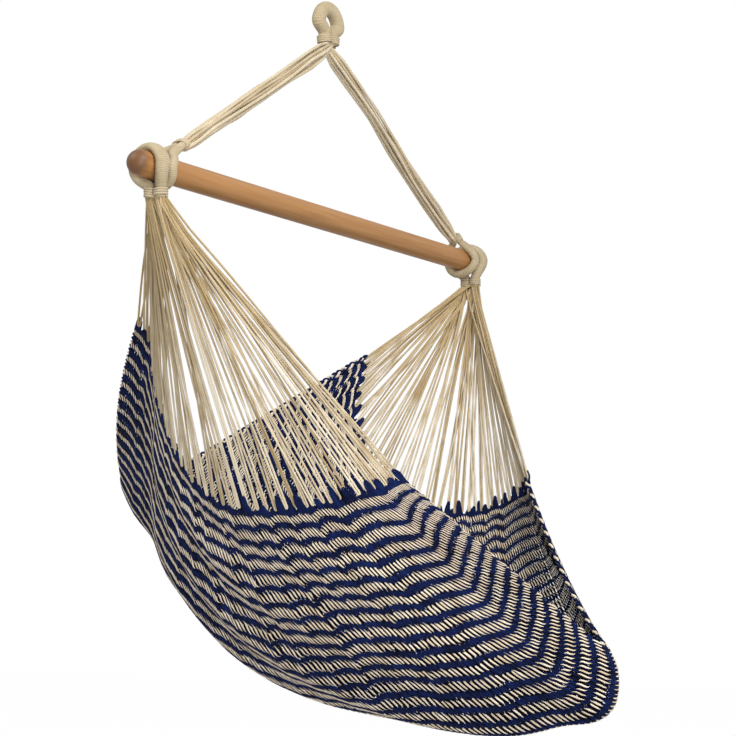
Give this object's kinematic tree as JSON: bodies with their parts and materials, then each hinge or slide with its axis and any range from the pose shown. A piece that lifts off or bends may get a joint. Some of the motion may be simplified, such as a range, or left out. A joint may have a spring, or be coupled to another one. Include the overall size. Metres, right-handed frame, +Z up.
{
  "type": "hammock chair",
  "caption": "Hanging hammock chair: a woven cord seat slung by fans of strings from a wooden spreader bar, which a rope bridle hangs from a whipped eye.",
  "frame": {"origin": "inside the crown of the hanging eye, where the hook carries it", "axes": "+X along the spreader bar towards the sitter's left, -Y the way the chair faces, +Z up"},
  "size_m": [1.05, 0.9655, 1.2444],
  "materials": {
    "oiled_wood": "oiled, satin",
    "cream_rope": "twisted cotton cord, matte",
    "cream_cord": "twisted cotton cord, matte",
    "navy_cream_weave": "open woven cotton cord in navy and cream bands, matte",
    "navy_braid": "braided cotton cord, matte"
  },
  "bodies": {
    "hook_eye": {"hanging_eye": "cream_rope", "hanging_eye_seizing": "cream_rope"},
    "bridle": {"right_bridle": "cream_cord", "right_bridle_loop": "cream_rope", "right_bridle_seizing": "cream_rope", "left_bridle": "cream_cord", "left_bridle_loop": "cream_rope", "left_bridle_seizing": "cream_rope"},
    "bar": {"spreader_bar": "oiled_wood"},
    "seat": {"right_hammock_eye": "cream_rope", "right_clew_seizing": "cream_rope", "left_hammock_eye": "cream_rope", "left_clew_seizing": "cream_rope", "woven_seat": "navy_cream_weave", "back_edge_cord": "navy_braid", "front_edge_cord": "navy_braid", "right_clew_strings_1": "cream_cord", "right_clew_strings_2": "cream_cord", "right_clew_strings_3": "cream_cord", "right_clew_strings_4": "cream_cord", "right_clew_strings_5": "cream_cord", "left_clew_strings_1": "cream_cord", "left_clew_strings_2": "cream_cord", "left_clew_strings_3": "cream_cord", "left_clew_strings_4": "cream_cord", "left_clew_strings_5": "cream_cord"}
  },
  "joints": [
    {"name": "chair_swing", "type": "hinge", "parent": "hook_eye", "child": "bridle", "pos_m": [0, 0, -0.0583], "axis": [1, 0, 0], "range_deg": [-20, 20]},
    {"name": "bar_roll", "type": "hinge", "parent": "bridle", "child": "bar", "pos_m": [0, 0, -0.36], "axis": [1, 0, 0], "continuous": true},
    {"name": "seat_tilt", "type": "hinge", "parent": "bridle", "child": "seat", "pos_m": [0, 0, -0.36], "axis": [1, 0, 0], "range_deg": [-20, 20]}
  ]
}
